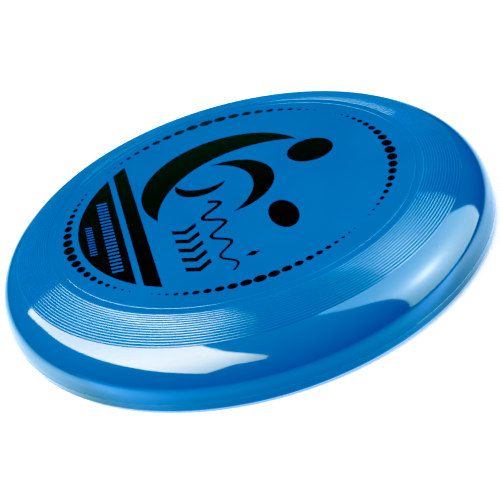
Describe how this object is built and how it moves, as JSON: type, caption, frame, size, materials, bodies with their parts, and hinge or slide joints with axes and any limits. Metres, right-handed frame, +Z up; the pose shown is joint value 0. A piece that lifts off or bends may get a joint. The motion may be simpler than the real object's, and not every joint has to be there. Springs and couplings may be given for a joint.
{
  "type": "flying disc",
  "caption": "Round plastic flying disc with a shallow domed plate, fine concentric flight ridges, a deep rounded rim and an abstract black print.",
  "frame": {"origin": "on the disc's axis, in the plane that the foot of the rim rests on", "axes": "+Z up along the disc's axis, out of the printed side; +X towards the side of the print where its artwork's top is; +Y away from the viewer"},
  "size_m": [0.267, 0.267, 0.0314],
  "materials": {
    "disc_plastic": "high gloss moulded polyethylene, strong blue all through",
    "print_ink": "smooth opaque black ink, thin and flat"
  },
  "bodies": {
    "root": {"disc_body": "disc_plastic", "ink_dots_far": "print_ink", "ink_dots_left": "print_ink", "ink_dots_near": "print_ink", "ink_dots_right": "print_ink", "ink_panel": "print_ink", "ink_stripe": "print_ink", "ink_swoosh_outer": "print_ink", "ink_swoosh_middle": "print_ink", "ink_swoosh_inner": "print_ink", "ink_disc_mark": "print_ink", "ink_spot": "print_ink", "ink_chevrons": "print_ink", "ink_wave": "print_ink", "ink_diamond": "print_ink"}
  },
  "joints": []
}
